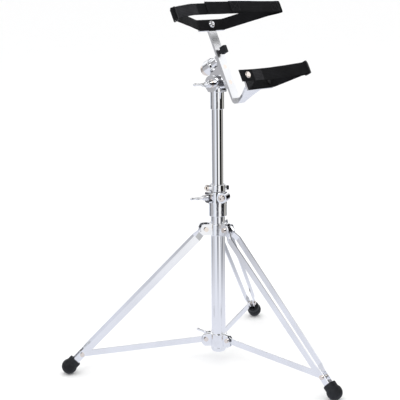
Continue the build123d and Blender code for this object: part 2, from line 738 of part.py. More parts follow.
# Rubber block the drum shell leans on, with the spacer and screw that hold it.
with BuildPart() as bumper:
    with BuildSketch(face_plane(BUMPER_STAND, BUMPER_P)):
        Rectangle(BUMPER_W, BUMPER_H)
    extrude(amount=BUMPER_FACE - BUMPER_STAND)
    fillet(bumper.edges(), 1.4)
    with BuildSketch(face_plane(BUMPER_STAND, BUMPER_P)):
        Circle(2.5)
    extrude(amount=9, mode=Mode.SUBTRACT)
save(bumper.part, "rubber_bumper")

with BuildPart() as bumper_spacer:
    with BuildSketch(face_plane(BAR_FRONT, BUMPER_P)):
        Circle(4.6)
        Circle(2.5, mode=Mode.SUBTRACT)
    extrude(amount=BUMPER_STAND - BAR_FRONT)
save(bumper_spacer.part, "bumper_spacer")

with BuildPart() as bumper_screw:
    with BuildSketch(face_plane(BAR_BACK, BUMPER_P)):
        Circle(2.5)
    extrude(amount=BUMPER_STAND - BAR_BACK + 9)
    with BuildSketch(face_plane(BAR_BACK, BUMPER_P)):
        Circle(5.0)
    extrude(amount=-2.8)
save(bumper_screw.part, "bumper_screw")


# --- webbing straps ----------------------------------------------------------
def thick_loop(points, t):
    """Outer and inner outlines of a closed band that follows the points."""
    count = len(points)
    rings = ([], [])
    for i in range(count):
        x0, y0 = points[i - 1]
        x1, y1 = points[i]
        x2, y2 = points[(i + 1) % count]
        ax, ay = x1 - x0, y1 - y0
        bx, by = x2 - x1, y2 - y1
        la = (ax * ax + ay * ay) ** 0.5
        lb = (bx * bx + by * by) ** 0.5
        nx = -ay / la - by / lb
        ny = ax / la + bx / lb
        k = (nx * (-ay / la) + ny * (ax / la))
        for ring, sign in ((rings[0], 1), (rings[1], -1)):
            ring.append((x1 + sign * nx / k * t / 2, y1 + sign * ny / k * t / 2))
    return rings


HALF = WEB_T / 2
UPPER_LOOP = ((-38, -HALF), (38, -HALF), (116, 61), (141, 72), (147, 77), (143, 81), (130, 81), (-84, 81),
              (-122, 79), (-149, 70), (-157, 65.5), (-162, 64.5), (-164, 62), (-161, 60.5), (-150, 56))
LOWER_LOOP = ((-38, SADDLE_STEP - HALF), (38, SADDLE_STEP - HALF), (72, 132), (86, 139), (89, 143),
              (83, 145), (20, 134), (-20, 129), (-64, 130), (-69, 126), (-66, 121))
for label, loop, drop in (("upper_strap", UPPER_LOOP, 0.0), ("lower_strap", LOWER_LOOP, SADDLE_DROP)):
    ring_a, ring_b = thick_loop(loop, WEB_T)
    with BuildPart() as strap:
        with BuildSketch(across_plane(drop - SADDLE_H / 2)):
            with BuildLine():
                Polyline(*ring_b, ring_b[0])
            make_face()
            with BuildLine():
                Polyline(*ring_a, ring_a[0])
            make_face(mode=Mode.SUBTRACT)
            if label == "lower_strap":
                with BuildLine():
                    Polyline((-58, 128.9), (-58, 131.4), (-109, 134.3), (-109, 131.8), (-58, 128.9))
                make_face()
        extrude(amount=SADDLE_H)
        if label == "upper_strap":
            with BuildSketch(face_plane(1, 0)):
                Circle(4.3)
            extrude(amount=-6, mode=Mode.SUBTRACT)
        else:
            for w in (-RIVET_W, RIVET_W):
                with BuildSketch(face_plane(SADDLE_STEP + 1, SADDLE_DROP, w)):
                    Circle(2.7)
                extrude(amount=-6, mode=Mode.SUBTRACT)
            with BuildSketch(face_plane(120, SADDLE_DROP, -89)):
                Circle(2.7)
            extrude(amount=20, mode=Mode.SUBTRACT)
    save(strap.part, label)

# Dome-headed hex-socket screw and nut of the upper saddle.
with BuildPart() as saddle_bolt:
    with BuildSketch(face_plane(0.3, 0)):
        Circle(8.0)
    extrude(amount=6.0)
    fillet(saddle_bolt.edges().filter_by(GeomType.CIRCLE).sort_by_distance(
        face_plane(6.3, 0).origin)[0], 5.2)
    with BuildSketch(face_plane(3.2, 0)):
        RegularPolygon(2.9, 6)
    extrude(amount=4, mode=Mode.SUBTRACT)
    with BuildSketch(face_plane(0.3, 0)):
        Circle(4.0)
    extrude(amount=-14.3)
save(saddle_bolt.part, "saddle_bolt")

with BuildPart() as saddle_nut:
    with BuildSketch(face_plane(BAR_BACK, 0)):
        RegularPolygon(7.4, 6)
        Circle(4.0, mode=Mode.SUBTRACT)
    extrude(amount=-6.0)
save(saddle_nut.part, "saddle_nut")

# Black flat-headed rivets that hold the lower strap to its saddle plate.
with BuildPart() as saddle_rivets:
    for w in (-RIVET_W, RIVET_W):
        with BuildSketch(face_plane(SADDLE_STEP + 0.3, SADDLE_DROP, w)):
            Circle(4.5)
        extrude(amount=1.2)
        with BuildSketch(face_plane(SADDLE_STEP + 0.3, SADDLE_DROP, w)):
            Circle(2.4)
        extrude(amount=-6.7)
save(saddle_rivets.part, "lower_saddle_rivets")

# Snap rivet at the loose end of the lower strap.
with BuildPart() as tail_rivet:
    with BuildSketch(face_plane(TAIL_Q + 1.6, SADDLE_DROP, -89)):
        Circle(7.2)
    extrude(amount=3.2)
    fillet(tail_rivet.edges().filter_by(GeomType.CIRCLE).sort_by_distance(
        face_plane(TAIL_Q + 4.8, SADDLE_DROP, -89).origin)[0], 2.6)
    with BuildSketch(face_plane(TAIL_Q + 1.6, SADDLE_DROP, -89)):
        Circle(2.4)
    extrude(amount=-4.6)
    with BuildSketch(face_plane(TAIL_Q - 2.4, SADDLE_DROP, -89)):
        Circle(6.0)
    extrude(amount=-1.2)
save(tail_rivet.part, "strap_end_rivet")

# Rectangular ring buckles.
for label, w, q, drop in (("upper_strap_ring", -157.0, 62.3, 0.0), ("lower_strap_ring", 80.5, 139.95, SADDLE_DROP)):
    with BuildPart() as ring:
        with BuildSketch(Plane(origin=(cradle_xz(drop, q)[0], w - 1.5, cradle_xz(drop, q)[1]),
                               x_dir=(ST, 0, -CT), z_dir=(0, 1, 0))):
            RectangleRounded(29.8, 16.2, 2.2)
            RectangleRounded(26.2, 12.6, 1.0, mode=Mode.SUBTRACT)
        extrude(amount=3.0)
    save(ring.part, label)
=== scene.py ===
"""Looks of a chrome tripod stand for a hand drum: webbing belts, wing screws, chrome, rubber and light.

Metres, in the frame of the CAD model.  Cradle places are given as (p, q, w) in millimetres:
p down the bracket from the upper saddle, q toward the drum, w sideways.
"""

import json
from math import atan2, cos, hypot, pi, radians, sin

import bmesh
import bpy
from mathutils import Matrix, Vector


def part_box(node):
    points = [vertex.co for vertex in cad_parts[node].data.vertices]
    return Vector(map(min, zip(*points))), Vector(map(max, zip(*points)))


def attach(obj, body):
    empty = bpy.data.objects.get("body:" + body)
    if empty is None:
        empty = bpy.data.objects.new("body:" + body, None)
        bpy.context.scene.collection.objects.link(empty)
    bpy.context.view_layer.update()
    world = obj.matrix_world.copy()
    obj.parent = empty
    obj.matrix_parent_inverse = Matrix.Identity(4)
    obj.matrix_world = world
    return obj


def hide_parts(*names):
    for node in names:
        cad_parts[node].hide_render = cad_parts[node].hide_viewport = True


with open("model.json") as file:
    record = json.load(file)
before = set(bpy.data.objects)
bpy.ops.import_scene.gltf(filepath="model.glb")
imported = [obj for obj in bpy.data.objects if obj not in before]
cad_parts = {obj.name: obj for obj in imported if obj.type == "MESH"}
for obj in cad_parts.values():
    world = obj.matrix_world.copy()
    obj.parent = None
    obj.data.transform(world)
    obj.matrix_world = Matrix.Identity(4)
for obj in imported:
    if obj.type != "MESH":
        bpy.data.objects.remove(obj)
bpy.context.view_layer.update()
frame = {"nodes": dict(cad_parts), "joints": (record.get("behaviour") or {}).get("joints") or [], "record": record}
RECORD = frame["record"]
MOUNT = {m["name"]: m for m in RECORD["mounts"]}
JOINT = {j["name"]: j for j in frame["joints"]}
MM = 0.001

# --- camera --------------------------------------------------------------------
CAMERA_DISTANCE = 2.4
CAMERA_HEIGHT = 0.8716
CAMERA_AZIMUTH = radians(45.7)
CAMERA_YAW = 0.01652
CAMERA_PITCH = 0.203939
CAMERA_ROLL = 0.009532
CAMERA_LENS = 98.89
SENSOR = 36.0


def make_camera():
    """Long lens a little above the tripod, looking across the leg that points to the right."""
    data = bpy.data.cameras.new("camera")
    data.lens = CAMERA_LENS
    data.sensor_width = SENSOR
    data.clip_start = 0.1
    data.clip_end = 400.0
    cam = bpy.data.objects.new("camera", data)
    bpy.context.scene.collection.objects.link(cam)
    turn = Matrix.Rotation(CAMERA_AZIMUTH, 3, "Z")
    ahead = turn @ Vector((-sin(CAMERA_YAW), cos(CAMERA_YAW), 0))
    right = turn @ Vector((cos(CAMERA_YAW), sin(CAMERA_YAW), 0))
    look = ahead * cos(CAMERA_PITCH) - Vector((0, 0, sin(CAMERA_PITCH)))
    below = look.cross(right)
    right_rolled = right * cos(CAMERA_ROLL) + below * sin(CAMERA_ROLL)
    up = right_rolled.cross(look)
    basis = Matrix((right_rolled, up, -look)).transposed()
    place = turn @ Vector((0, -CAMERA_DISTANCE, CAMERA_HEIGHT))
    cam.matrix_world = Matrix.Translation(place) @ basis.to_4x4()
    bpy.context.scene.camera = cam
    return place


# --- material helpers ------------------------------------------------------------
class Shade:
    """A Principled material with short helpers for its nodes."""

    def __init__(self, name, color, rough, metallic=0.0, **values):
        self.material = bpy.data.materials.new(name)
        self.material.use_nodes = True
        self.tree = self.material.node_tree
        self.bsdf = self.tree.nodes["Principled BSDF"]
        self.bsdf.inputs["Base Color"].default_value = (*color, 1.0)
        self.bsdf.inputs["Roughness"].default_value = rough
        self.bsdf.inputs["Metallic"].default_value = metallic
        for key, value in values.items():
            self.bsdf.inputs[key.replace("_", " ")].default_value = value

    def node(self, kind, **settings):
        made = self.tree.nodes.new(kind)
        for key, value in settings.items():
            setattr(made, key, value)
        return made

    def link(self, out, into):
        self.tree.links.new(out, into)

    def coords(self, scale=(1, 1, 1)):
        source = self.node("ShaderNodeTexCoord")
        mapping = self.node("ShaderNodeMapping")
        mapping.inputs["Scale"].default_value = scale
        self.link(source.outputs["Object"], mapping.inputs["Vector"])
        return mapping.outputs["Vector"]

    def noise(self, scale, detail=2.0, vector=None):
        made = self.node("ShaderNodeTexNoise")
        made.inputs["Scale"].default_value = scale
        made.inputs["Detail"].default_value = detail
        self.link(vector or self.coords(), made.inputs["Vector"])
        return made.outputs["Fac"]

    def math(self, operation, a, b=None):
        made = self.node("ShaderNodeMath", operation=operation)
        for index, value in enumerate((a, b)):
            if value is None:
                continue
            if isinstance(value, (int, float)):
                made.inputs[index].default_value = value
            else:
                self.link(value, made.inputs[index])
        return made.outputs[0]

    def spread(self, fac, low, high, from_low=0.0, from_high=1.0):
        made = self.node("ShaderNodeMapRange")
        made.inputs["From Min"].default_value = from_low
        made.inputs["From Max"].default_value = from_high
        made.inputs["To Min"].default_value = low
        made.inputs["To Max"].default_value = high
        self.link(fac, made.inputs["Value"])
        return made.outputs["Result"]

    def blend(self, fac, low, high):
        made = self.node("ShaderNodeMix", data_type="RGBA")
        self.link(fac, made.inputs["Factor"])
        made.inputs["A"].default_value = (*low, 1.0)
        made.inputs["B"].default_value = (*high, 1.0)
        return made.outputs["Result"]

    def color(self, out):
        self.link(out, self.bsdf.inputs["Base Color"])

    def rough(self, out):
        self.link(out, self.bsdf.inputs["Roughness"])

    def bump(self, height, strength, distance):
        made = self.node("ShaderNodeBump")
        made.inputs["Strength"].default_value = strength
        made.inputs["Distance"].default_value = distance
        self.link(height, made.inputs["Height"])
        self.link(made.outputs["Normal"], self.bsdf.inputs["Normal"])


DULL = 0.93
WAVE_TO_HAZE = 2.2
GRAIN_SCALE = 900.0
GRAIN_SHARE = 0.04
PLATING_DEPTH = 0.0006


def chrome(name, tint, rough_low, rough_high, ripple, scale):
    """Plated metal: haze in patches, a faint ripple of the plating and a trace of fine grain."""
    made = Shade(name, tint, rough_low, metallic=1.0)
    haze = made.noise(scale, detail=3.0)
    made.rough(made.spread(haze, rough_low, rough_high, 0.35, 0.75))
    dull = tuple(c * DULL for c in tint)
    made.color(made.blend(made.spread(haze, 0.0, 1.0, 0.4, 0.8), tint, dull))
    wave = made.noise(scale * WAVE_TO_HAZE, detail=1.0)
    grain = made.noise(GRAIN_SCALE, detail=2.0)
    fine = made.math("MULTIPLY_ADD", grain, GRAIN_SHARE)
    made.link(wave, fine.node.inputs[2])
    made.bump(fine, ripple, PLATING_DEPTH)
    return made.material


def brushed(name, tint, rough):
    """Machined steel with turned marks."""
    made = Shade(name, tint, rough, metallic=1.0)
    marks = made.noise(60.0, detail=4.0, vector=made.coords(scale=(1, 1, 18)))
    made.rough(made.spread(marks, rough * 0.7, rough * 1.4))
    made.bump(marks, 0.15, 0.0002)
    return made.material


def moulded(name, dark, light, rough, grain, strength, shine=0.2):
    """Moulded rubber, nylon or painted metal: fine grain and faint paler blotches."""
    made = Shade(name, dark, rough, Specular_IOR_Level=shine)
    blotch = made.noise(35.0, detail=3.0)
    made.color(made.blend(made.spread(blotch, 0.0, 1.0, 0.3, 0.75), dark, light))
    made.rough(made.spread(blotch, rough * 0.85, min(1.0, rough * 1.15)))
    made.bump(made.noise(grain, detail=3.0), strength, 0.0004)
    return made.material


RIB = 0.0017
CORD = 0.0032
WEAVE_DEPTH = 0.00035


def woven(name, dark, light, rib=RIB, strength=0.7, rough=0.72):
    """Flat woven webbing; its colour has painted shade in the grooves between the cords and a painted highlight on
    their crests.  The piece's UV map runs along and across it in metres.
    """
    made = Shade(name, dark, rough, Specular_IOR_Level=0.12, Sheen_Weight=0.03, Sheen_Roughness=0.4)
    uv = made.node("ShaderNodeSeparateXYZ")
    source = made.node("ShaderNodeTexCoord")
    made.link(source.outputs["UV"], uv.inputs["Vector"])
    along = uv.outputs["X"]
    across = uv.outputs["Y"]
    cord = made.math("MULTIPLY", across, pi / CORD)
    warp = made.math("ABSOLUTE", made.math("SINE", cord))
    column = made.math("FLOOR", made.math("DIVIDE", across, CORD))
    offset = made.math("MULTIPLY", column, pi / 2)
    weft_phase = made.math("ADD", made.math("MULTIPLY", along, pi / rib), offset)
    weft = made.math("ABSOLUTE", made.math("SINE", weft_phase))
    height = made.math("MULTIPLY", made.math("POWER", warp, 0.5), made.math("POWER", weft, 0.6))
    fuzz = made.noise(450.0, detail=4.0)
    worn = made.noise(28.0, detail=4.0)
    # Painted light and shade: the colour follows the weave's height, paler on the crests and darker in the
    # grooves, varied in random patches.
    painted_rib_light = made.math("MULTIPLY", height, made.spread(worn, 0.55, 1.15, 0.3, 0.7))
    made.color(made.blend(made.math("MULTIPLY", painted_rib_light, made.spread(fuzz, 0.5, 1.3)), dark, light))
    made.rough(made.spread(fuzz, rough * 0.9, rough * 1.15))
    rough_height = made.math("ADD", height, made.math("MULTIPLY", fuzz, 0.25))
    made.bump(rough_height, strength, WEAVE_DEPTH)
    return made.material


def floor_material():
    """Pale matt studio floor with the faintest mottling."""
    made = Shade("studio_floor", (0.93, 0.93, 0.93), 0.75)
    mottle = made.noise(3.0, detail=3.0)
    made.color(made.blend(mottle, (0.925, 0.925, 0.925), (0.945, 0.945, 0.945)))
    return made.material


# --- mesh helpers -------------------------------------------------------------
def keep(name, bm, material, smooth_angle=35.0):
    """Makes an object of a bmesh, shaded smooth up to an angle."""
    bmesh.ops.recalc_face_normals(bm, faces=bm.faces)
    data = bpy.data.meshes.new(name)
    bm.to_mesh(data)
    bm.free()
    data.materials.append(material)
    data.shade_smooth()
    data.set_sharp_from_angle(angle=radians(smooth_angle))
    made = bpy.data.objects.new(name, data)
    bpy.context.scene.collection.objects.link(made)
    return made


def axes_for(direction):
    """Right-handed axes whose third is the direction."""
    z = Vector(direction).normalized()
    x = z.orthogonal()
    x = (x - z * x.dot(z)).normalized()
    return Matrix((x, z.cross(x), z)).transposed().to_4x4()


def bridge(bm, rings, closed=False):
    """Quads between neighbouring rings of corners; closed joins the last ring to the first."""
    following = rings[1:] + rings[:1] if closed else rings[1:]
    for a, b in zip(rings, following):
        for k in range(len(a)):
            n = (k + 1) % len(a)
            bm.faces.new((a[k], a[n], b[n], b[k]))


def soft_square(k, count, power):
    """Corner k of a section between a circle (power 1) and a square (power 0), 1 in half-width."""
    a = 2 * pi * k / count
    c = cos(a)
    s = sin(a)
    return abs(c) ** power * (1 if c > 0 else -1), abs(s) ** power * (1 if s > 0 else -1)


def lathe(bm, profile, place, segments=48):
    """Adds a turned shape: profile is (radius, height) in mm, height along the place's z axis."""
    rings = []
    for r, h in profile:
        if r < 1e-6:
            rings.append([bm.verts.new(place @ Vector((0, 0, h * MM)))])
            continue
        ring = []
        for i in range(segments):
            a = 2 * pi * i / segments
            ring.append(bm.verts.new(place @ Vector((r * MM * cos(a), r * MM * sin(a), h * MM))))
        rings.append(ring)
    for low, high in zip(rings, rings[1:]):
        for i in range(segments):
            j = (i + 1) % segments
            if len(low) == 1 and len(high) == 1:
                continue
            if len(low) == 1:
                bm.faces.new((low[0], high[j], high[i]))
            elif len(high) == 1:
                bm.faces.new((low[i], low[j], high[0]))
            else:
                bm.faces.new((low[i], low[j], high[j], high[i]))


def rounded(points, radius, steps):
    """An open outline with each inner corner replaced by a short curve."""
    made = [points[0]]
    for before, here, after in zip(points, points[1:], points[2:]):
        a = Vector(before) - Vector(here)
        b = Vector(after) - Vector(here)
        cut = min(radius, a.length * 0.45, b.length * 0.45)
        start = Vector(here) + a.normalized() * cut
        end = Vector(here) + b.normalized() * cut
        for i in range(steps + 1):
            t = i / steps
            mid = start * (1 - t) ** 2 + Vector(here) * 2 * t * (1 - t) + end * t ** 2
            made.append(tuple(mid))
    made.append(points[-1])
    return made


# --- cradle coordinates ---------------------------------------------------------
FACE = Vector(MOUNT["bumper_face"]["axis"])
DOWN = Vector((FACE.z, 0, -FACE.x))
SIDE = Vector((0, 1, 0))
LOOP_MID = 38 * MM
SADDLE = Vector(MOUNT["upper_strap_loop"]["pos_m"]) - FACE * LOOP_MID


def cradle(p, q, w):
    """A cradle place in the frame's metres."""
    return SADDLE + (DOWN * p + FACE * q + SIDE * w) * MM


# --- webbing ----------------------------------------------------------------------
WEB_W = 25.4
WEB_T = 1.3
WEB_BOW = 0.22
ACROSS = 12
STEP = 1.6
CORNER_STEPS = 6


def resample(points, step):
    """Points a step apart along an open polyline, with their distance from its start."""
    made = []
    travelled = 0.0
    target = 0.0
    for a, b in zip(points, points[1:]):
        run = (b - a).length
        while target <= travelled + run and run > 0:
            made.append((a + (b - a) * ((target - travelled) / run), target))
            target += step
        travelled += run
    made.append((points[-1], travelled))
    return made


def stations_of(route, round_by, step=STEP):
    """Places along a (w, q) route: point, distance, direction and outward side."""
    path = rounded([Vector((w, q, 0)) for w, q in route], round_by, CORNER_STEPS)
    spots = resample([Vector(v) for v in path], step)
    made = []
    for i, (here, distance) in enumerate(spots):
        before = spots[max(i - 1, 0)][0]
        after = spots[min(i + 1, len(spots) - 1)][0]
        run = (after - before).normalized()
        made.append((here, distance, run, Vector((run.y, -run.x, 0))))
    return made


def band(bm, uv, route, drop, width=WEB_W, thick=WEB_T, shift=(0.0, 0.0), lift=0.0, wave=0.25, round_by=9.0):
    """Adds a length of webbing that follows (w, q) points, with rounded selvages and a slight wave.

    It lies drop down the bracket and slips by shift from one end to the other; lift sets it off its route.
    """
    stations = stations_of(route, round_by)
    length = stations[-1][1]
    rings = []
    for here, distance, run, out in stations:
        ripple = wave * (sin(distance * 0.052 + route[0][0]) + 0.5 * sin(distance * 0.131 + width))
        slip = shift[0] + (shift[1] - shift[0]) * distance / length
        ring = []
        for face in (1, -1):
            for k in range(ACROSS + 1):
                s = (-1 + 2 * k / ACROSS) * face
                edge = 1 - abs(s) ** 8 * 0.75
                bow = (1 - s * s) * WEB_BOW
                off = lift + ripple * (0.4 + 0.6 * s) + bow + face * thick / 2 * edge
                v = here + out * off
                p = drop + slip + s * width / 2 + 0.2 * sin(distance * 0.045)
                ring.append((bm.verts.new(cradle(p, v.y, v.x)), distance, s * width / 2))
        rings.append(ring)
    count = len(rings[0])

    def face_of(corners):
        made = bm.faces.new([c[0] for c in corners])
        for loop, corner in zip(made.loops, corners):
            loop[uv].uv = (corner[1] * MM, corner[2] * MM)

    for a, b in zip(rings, rings[1:]):
        for k in range(count):
            n = (k + 1) % count
            face_of((a[k], b[k], b[n], a[n]))
    for ring in (rings[0], rings[-1]):
        for k in range(ACROSS):
            face_of((ring[k], ring[k + 1], ring[count - 2 - k], ring[count - 1 - k]))


def webbing(name, layers, drop, material, node, body="cradle"):
    """One piece of webbing made of bands; it rides on the cradle."""
    bm = bmesh.new()
    uv = bm.loops.layers.uv.new("UVMap")
    for layer in layers:
        band(bm, uv, drop=drop, **layer)
    made = keep(name, bm, material, 50.0)
    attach(made, body)
    if node:
        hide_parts(node)


STITCH = 2.5
STITCH_GAP = 0.14
THREAD = 0.42
THREAD_SIDES = 6
THREAD_STEP = 0.5
# Along a stitch: the share of its length, its thickness and its height above the webbing, in threads.
THREAD_PROFILE = ((0.0, 0.25, -0.5), (0.2, 0.9, 0.35), (0.5, 1.0, 0.6), (0.8, 0.9, 0.35), (1.0, 0.25, -0.5))


def thread(bm, start, end, out):
    """One stitch: a short plump thread that dips into the webbing at both ends."""
    along = end - start
    side = along.cross(out).normalized()
    rings = []
    for t, size, rise in THREAD_PROFILE:
        centre = start + along * t + out * rise * THREAD * MM
        ring = []
        for i in range(THREAD_SIDES):
            a = 2 * pi * i / THREAD_SIDES
            ring.append(bm.verts.new(centre + (side * cos(a) + out * sin(a)) * size * THREAD * MM))
        rings.append(ring)
    bridge(bm, rings)
    bm.faces.new(rings[0])
    bm.faces.new(list(reversed(rings[-1])))


def stitched(bm, route, drop, start, end, lines, lift, shift=0.0, cross=True, round_by=9.0):
    """Rows of stitches along a route between two distances; cross adds rows across and an X."""
    stations = stations_of(route, round_by, THREAD_STEP)

    def at(distance, p):
        here, _, _, out = stations[min(int(distance / THREAD_STEP), len(stations) - 1)]
        v = here + out * lift
        return cradle(drop + shift + p, v.y, v.x), (FACE * out.y + SIDE * out.x)

    def row(d0, p0, d1, p1):
        count = max(1, round(hypot(d1 - d0, p1 - p0) / STITCH))
        for i in range(count):
            a = (i + STITCH_GAP) / count
            b = (i + 1 - STITCH_GAP) / count
            one, out = at(d0 + (d1 - d0) * a, p0 + (p1 - p0) * a)
            two, _ = at(d0 + (d1 - d0) * b, p0 + (p1 - p0) * b)
            thread(bm, one, two, out)

    for p in lines:
        row(start, p, end, p)
    if cross:
        row(start, lines[0], start, lines[-1])
        row(end, lines[0], end, lines[-1])
        row(start, lines[0], end, lines[-1])
        row(start, lines[-1], end, lines[0])


# Routes of the belts' layers, in (w, q).  BACK passes behind the saddle, NEAR is the run that faces the
# drum, OUTER and SLEEVE are sewn over it, TURN is where the lower belt folds back and GRIP is the coarse
# tape near the end.
UPPER_BACK = ((-162.5, 61.2), (-150, 56), (-38, -0.9), (38, -0.9), (116, 60), (141, 71.2), (147.4, 76.5),
              (143, 81.6), (128, 81.4))
UPPER_NEAR = ((131, 80.0), (60, 80.3), (-84, 80.2), (-122, 78.4), (-149, 69.6), (-157, 65.4), (-162, 64.3),
              (-163.6, 62), (-160, 60.2))
UPPER_OUTER = ((137, 82.4), (60, 82.6), (-16, 83.6))
UPPER_SLEEVE = ((-15, 82.2), (-50, 82.0), (-83, 81.6))
UPPER_GRIP = ((-108, 79.2), (-122, 78.4), (-149, 69.6), (-155, 66.4))

LOWER_BACK = ((-66, 122), (-38, 76.2), (38, 76.2), (72, 131), (86, 138), (89, 142))
LOWER_NEAR = ((89, 140), (88.2, 143.4), (83, 144.9), (20, 133.8), (-20, 129.2), (-64, 130.2), (-109, 133.0))
LOWER_TURN = ((-66, 121), (-69, 125.6), (-63, 128.4), (-20, 127.6), (10, 130.2))
LOWER_GRIP = ((-43, 129.8), (-64, 130.3), (-71, 130.7))


# --- cast and bent pieces -------------------------------------------------------
EAR_SIDES = 20
EAR_POWER = 0.8
# An ear's middle line, out along the screw and out to the side, with its width and thickness.
EAR_SPINE = ((1.5, 2.0, 9.0, 6.4), (5.5, 4.6, 10.6, 6.0), (10.0, 7.0, 10.4, 5.2), (14.5, 9.1, 9.2, 4.9),
             (19.0, 11.4, 7.6, 4.8), (22.4, 12.9, 7.2, 6.4), (24.4, 13.7, 6.6, 6.0), (25.8, 14.3, 4.6, 4.2),
             (26.4, 14.5, 1.4, 1.3))


def ear(bm, place, side):
    """One ear of a wing screw: a tapering blade with a full round tip."""
    rings = []
    for i, (x, y, wide, thick) in enumerate(EAR_SPINE):
        before = Vector(EAR_SPINE[max(i - 1, 0)][:2])
        after = Vector(EAR_SPINE[min(i + 1, len(EAR_SPINE) - 1)][:2])
        run = (after - before).normalized()
        ring = []
        for k in range(EAR_SIDES):
            flat, deep = soft_square(k, EAR_SIDES, EAR_POWER)
            u = wide / 2 * flat
            spot = Vector((x - run.y * u, (y + run.x * u) * side, thick / 2 * deep)) * MM
            ring.append(bm.verts.new(place @ spot))
        rings.append(ring)
    bridge(bm, rings)
    bm.faces.new(rings[0])
    bm.faces.new(rings[-1])


def wing_screw(name, node, joint, body, turn, start, end, middle, radius, stem):
    """Cast wing screw or nut: stem, flanged hub with a domed end, and two ears.

    turn is the ears' angle from upright about the screw's axis.  Along that axis, from the joint's place,
    the hub runs from start to end, the ears' roots are at middle, and the stem goes on inward from start.
    """
    axis = Vector(JOINT[joint]["axis"]).normalized()
    centre = Vector(JOINT[joint]["pos_m"])
    tangent = Vector((0, 0, 1)).cross(axis)
    normal = Vector((0, 0, 1)) * cos(turn) - tangent * sin(turn)
    across = normal.cross(axis)
    turned = Matrix((axis, across, normal)).transposed().to_4x4()
    blades = Matrix.Translation(centre + axis * middle * MM) @ turned
    bm = bmesh.new()
    hub = Matrix.Translation(centre) @ axes_for(axis)
    inner = start - stem
    profile = [(0, inner), (3.7, inner), (4.0, inner + 0.5), (4.0, start), (radius - 0.8, start),
               (radius, start + 0.8), (radius, start + 2.6), (radius - 0.9, start + 3.4),
               (radius - 1.1, end - 2.4), (radius - 1.6, end - 0.9), (radius - 2.8, end - 0.1), (3.4, end),
               (3.1, end + 0.7), (1.6, end + 1.2), (0, end + 1.3)]
    lathe(bm, profile, hub)
    for side in (1, -1):
        ear(bm, blades, side)
    made = keep(name, bm, MATERIALS["chrome_casting"], 40.0)
    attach(made, body)
    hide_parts(node)


BUCKLE_HALF_P = 14.1
BUCKLE_HALF_Q = 7.3
BUCKLE_CORNER = 2.4
BUCKLE_CORNER_STEPS = 8
WIRE_HALF = 1.0
WIRE_HALF_W = 1.45
WIRE_SIDES = 16
WIRE_POWER = 0.7


def buckle(name, node, p, q, w):
    """Rounded rectangular ring of flat-sided wire; sizes are to the middle of the wire."""
    bm = bmesh.new()
    away_p = BUCKLE_HALF_P - BUCKLE_CORNER
    away_q = BUCKLE_HALF_Q - BUCKLE_CORNER
    centres = ((away_p, away_q), (-away_p, away_q), (-away_p, -away_q), (away_p, -away_q))
    rings = []
    for quarter, (x, y) in enumerate(centres):
        for i in range(BUCKLE_CORNER_STEPS + 1):
            a = radians(90 * quarter + 90 * i / BUCKLE_CORNER_STEPS)
            ring = []
            for k in range(WIRE_SIDES):
                flat, deep = soft_square(k, WIRE_SIDES, WIRE_POWER)
                reach = BUCKLE_CORNER + WIRE_HALF * flat
                spot = cradle(p + x + reach * cos(a), q + y + reach * sin(a), w + WIRE_HALF_W * deep)
                ring.append(bm.verts.new(spot))
            rings.append(ring)
    bridge(bm, rings, closed=True)
    made = keep(name, bm, MATERIALS["black_metal"], 40.0)
    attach(made, "cradle")
    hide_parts(node)


RATCHET_TEETH = 36
TOOTH_STEPS = (0.0, 0.0, 0.9, 0.9)
RATCHET_BORE = 4.3 * MM
TOOTH_ROOT = 3.4 * MM
RIM_CHAMFER = 0.5 * MM
RIM_FLAT = 0.6


def ratchet(name, node, body):
    """Ratchet disc with teeth cut in its rim."""
    low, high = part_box(node)
    low = Vector(low)
    high = Vector(high)
    centre = (low + high) / 2
    radius = (high.z - low.z) / 2
    half = (high.y - low.y) / 2
    bm = bmesh.new()
    rings = []
    near_face = ((RATCHET_BORE, -half, 0), (radius - TOOTH_ROOT, -half, 0), (radius - RIM_CHAMFER, -half, 1),
                 (radius, -half * RIM_FLAT, 1))
    far_face = tuple((r, -y, cut) for r, y, cut in reversed(near_face))
    count = RATCHET_TEETH * len(TOOTH_STEPS)
    for r, y, cut in near_face + far_face:
        ring = []
        for i in range(count):
            a = 2 * pi * i / count
            depth = TOOTH_STEPS[i % len(TOOTH_STEPS)] * MM * cut
            ring.append(bm.verts.new(centre + Vector(((r - depth) * cos(a), y, (r - depth) * sin(a)))))
        rings.append(ring)
    bridge(bm, rings, closed=True)
    made = keep(name, bm, MATERIALS["hard_steel"], 30.0)
    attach(made, body)
    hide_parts(node)


# --- studio and light -----------------------------------------------------------
CAMERA_PLACE = make_camera()
CAMERA_BEARING = atan2(CAMERA_PLACE.y, CAMERA_PLACE.x)
PALE = (0.79, 0.81, 0.89)
GREY = (0.46, 0.46, 0.48)
LIGHT = (0.78, 0.82, 0.90)
WHITE = (1.0, 1.0, 1.0)
BLACK = (0.004, 0.004, 0.004)
DIM = (0.10, 0.10, 0.11)
WARM = (0.44, 0.43, 0.40)
SKY = (1.15, 1.16, 1.18)
ROOF = (0.02, 0.02, 0.022)
BEHIND_CAMERA = (0.015, 0.015, 0.017)
# Tones of the surround and their bearings in degrees, counted round from the main camera's side; the
# tones blend from one bearing to the next.
SURROUND = ((-180, GREY), (-128, LIGHT), (-118, DIM), (-104, DIM), (-96, GREY), (-62, GREY), (-52, LIGHT),
            (-36, LIGHT), (-28, WHITE), (-19, LIGHT), (-14, DIM), (8, DIM), (13, WHITE), (40, WHITE),
            (47, BLACK), (86, BLACK), (94, WARM), (128, WARM), (134, BLACK), (148, BLACK), (156, LIGHT),
            (180, GREY))
# Heights of a direction, or its closeness to the camera's, between which one tone fades into the next.
FLOOR_FADE = (-0.30, -0.21)
SKY_FADE = (0.10, 0.42)
ROOF_FADE = (0.60, 0.72)
BEHIND_FADE = (0.915, 0.955)
PLAIN_STRENGTH = 1.12


